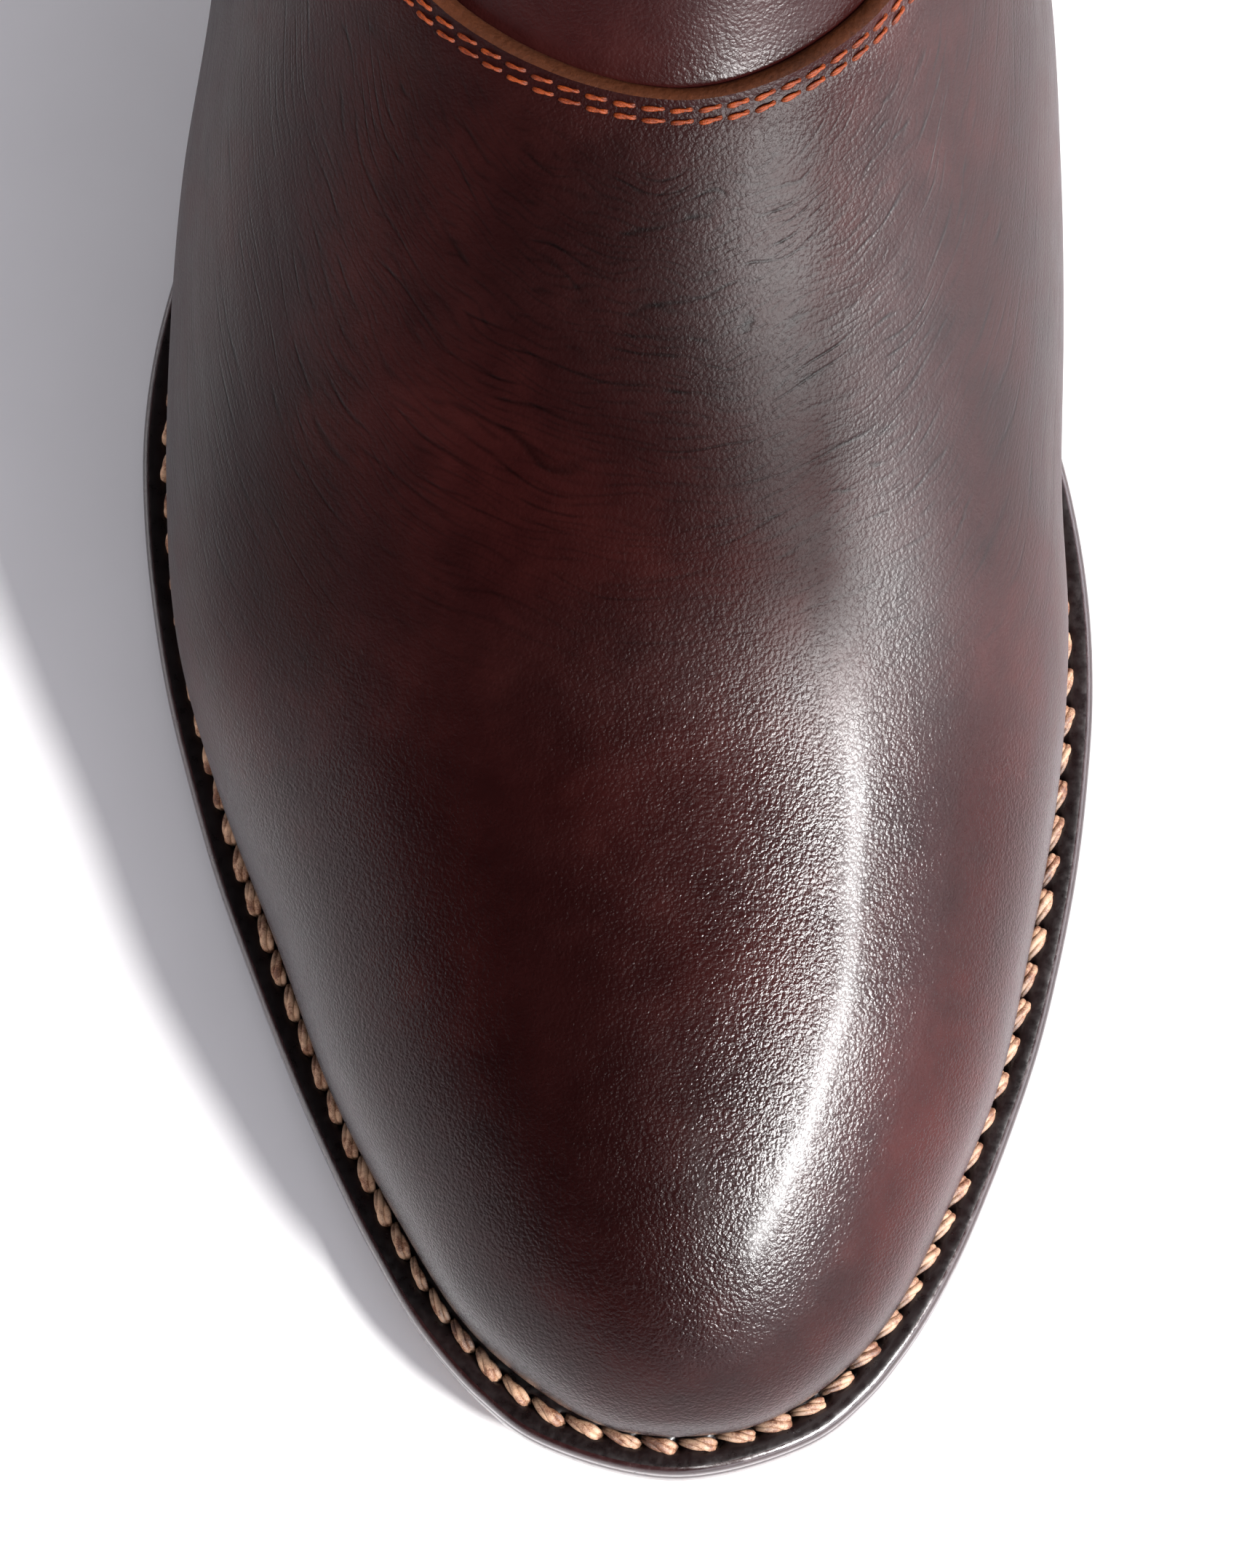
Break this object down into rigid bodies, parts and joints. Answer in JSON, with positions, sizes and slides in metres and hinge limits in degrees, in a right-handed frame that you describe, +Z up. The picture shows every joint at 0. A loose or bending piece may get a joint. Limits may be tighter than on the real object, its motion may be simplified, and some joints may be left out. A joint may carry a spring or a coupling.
{
  "type": "riding boot",
  "caption": "Right pull-on leather riding boot: stitched welt, full vamp with curved throat seam, tall shaft, stacked heel and folding webbing pull loops.",
  "frame": {"origin": "bottom centre of the bounding box, on the floor the sole stands on", "axes": "+Z up the leg, -Y towards the toe, +Y towards the heel, +X towards the inner (medial) side of a right foot"},
  "size_m": [0.1176, 0.302, 0.3924],
  "materials": {
    "upper_leather": "glossy oxblood smooth leather, fine grain",
    "shaft_leather": "glossy oxblood smooth leather",
    "trim_leather": "glossy oxblood smooth leather",
    "welt_leather": "near-black waxed edge",
    "heel_leather": "near-black waxed stacked leather",
    "sole_leather": "satin tan leather, dark waxed edge",
    "heel_rubber": "matte",
    "lining_leather": "matte natural leather",
    "insole_leather": "matte",
    "cork": "matte ground cork",
    "stiffener_board": "matte moulded board",
    "backer_cloth": "matte cotton drill",
    "webbing": "woven herringbone webbing",
    "thread": "waxed twisted thread",
    "shank_steel": "satin",
    "nail_brass": "satin"
  },
  "bodies": {
    "boot": {"vamp": "upper_leather", "heel_counter_cover": "upper_leather", "shaft_front": "shaft_leather", "shaft_back": "shaft_leather", "side_strip_medial": "trim_leather", "side_strip_lateral": "trim_leather", "top_binding": "trim_leather", "welt": "welt_leather", "heel_rand": "welt_leather", "heel_lift_1": "heel_leather", "heel_lift_2": "heel_leather", "heel_lift_3": "heel_leather", "outsole": "sole_leather", "top_lift": "heel_rubber", "vamp_lining": "lining_leather", "shaft_lining": "lining_leather", "sock_liner": "lining_leather", "insole_board": "insole_leather", "cork_filler": "cork", "toe_puff": "stiffener_board", "heel_stiffener": "stiffener_board", "vamp_backer": "backer_cloth", "strap_base_medial": "webbing", "strap_base_lateral": "webbing", "welt_thread": "thread", "vamp_thread_outer": "thread", "vamp_thread_inner": "thread", "steel_shank": "shank_steel", "heel_nail_1": "nail_brass", "heel_nail_2": "nail_brass", "heel_nail_3": "nail_brass", "heel_nail_4": "nail_brass", "heel_nail_5": "nail_brass"},
    "medial_loop": {"strap_loop_medial": "webbing"},
    "lateral_loop": {"strap_loop_lateral": "webbing"}
  },
  "joints": [
    {"name": "medial_loop_fold", "type": "hinge", "parent": "boot", "child": "medial_loop", "pos_m": [0.0514, 0.0816, 0.3585], "axis": [0, 1, 0], "range_deg": [-70, 30], "stiffness_Nm_per_rad": 0.02},
    {"name": "lateral_loop_fold", "type": "hinge", "parent": "boot", "child": "lateral_loop", "pos_m": [-0.0508, 0.0816, 0.3585], "axis": [0, 1, 0], "range_deg": [-30, 70], "stiffness_Nm_per_rad": 0.02}
  ]
}
